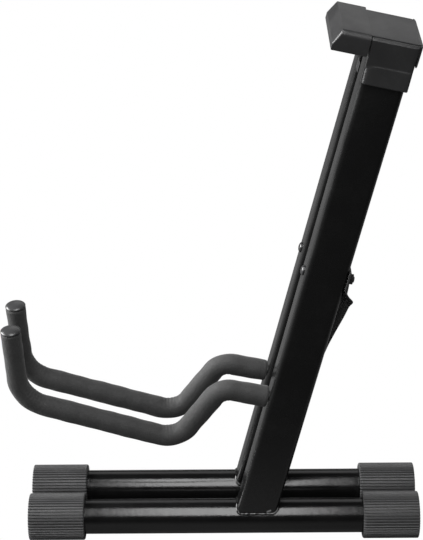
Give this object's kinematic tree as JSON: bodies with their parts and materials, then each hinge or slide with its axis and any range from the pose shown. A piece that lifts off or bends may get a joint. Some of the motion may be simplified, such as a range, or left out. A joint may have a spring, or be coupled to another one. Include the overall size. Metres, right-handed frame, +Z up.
{
  "type": "guitar stand",
  "caption": "Folding A-frame guitar stand, shown folded: two leaning legs hinged in a moulded head, padded cradle arms, rubber-capped feet and a spreader strap",
  "frame": {"origin": "middle of the bounding box on the floor, with the stand folded", "axes": "+X to the right leg, +Y from front to back, +Z up; the cradle arms point to -Y"},
  "size_m": [0.0672, 0.2904, 0.3935],
  "materials": {
    "black_paint": "gloss black powder coat on steel tube",
    "black_rubber": "satin black rubber, ribbed lengthways",
    "black_foam": "matt black closed-cell foam",
    "grey_plastic": "fine matt charcoal moulding",
    "zinc_steel": "bright zinc plate",
    "black_steel": "black oxide on steel fasteners",
    "black_webbing": "woven black nylon webbing"
  },
  "bodies": {
    "head": {"top_cover": "grey_plastic", "hinge_pin_left": "zinc_steel", "hinge_pin_right": "zinc_steel", "pin_clip_left": "zinc_steel", "pin_clip_right": "zinc_steel", "strap": "black_webbing"},
    "left_leg": {"foot_tube_left": "black_paint", "foot_cap_front_left": "black_rubber", "foot_cap_rear_left": "black_rubber", "upright_left": "black_paint", "arm_rod_left": "black_paint", "arm_foam_left": "black_foam", "arm_end_cap_left": "grey_plastic", "leg_cap_left": "grey_plastic", "cap_screw_left": "zinc_steel", "strap_bolt_left": "black_steel", "strap_washer_left": "black_steel", "strap_nut_left": "black_steel"},
    "right_leg": {"foot_tube_right": "black_paint", "foot_cap_front_right": "black_rubber", "foot_cap_rear_right": "black_rubber", "upright_right": "black_paint", "arm_rod_right": "black_paint", "arm_foam_right": "black_foam", "arm_end_cap_right": "grey_plastic", "leg_cap_right": "grey_plastic", "cap_screw_right": "zinc_steel", "strap_bolt_right": "black_steel", "strap_washer_right": "black_steel", "strap_nut_right": "black_steel"}
  },
  "joints": [
    {"name": "left_leg_fold", "type": "hinge", "parent": "head", "child": "left_leg", "pos_m": [-0.0139, 0.10852, 0.37936], "axis": [0, 0.9755, -0.2198], "range_deg": [0, 20], "deforming": ["strap"]},
    {"name": "right_leg_fold", "type": "hinge", "parent": "head", "child": "right_leg", "pos_m": [0.0139, 0.10852, 0.37936], "axis": [0, -0.9755, 0.2198], "range_deg": [0, 20], "deforming": ["strap"]}
  ]
}
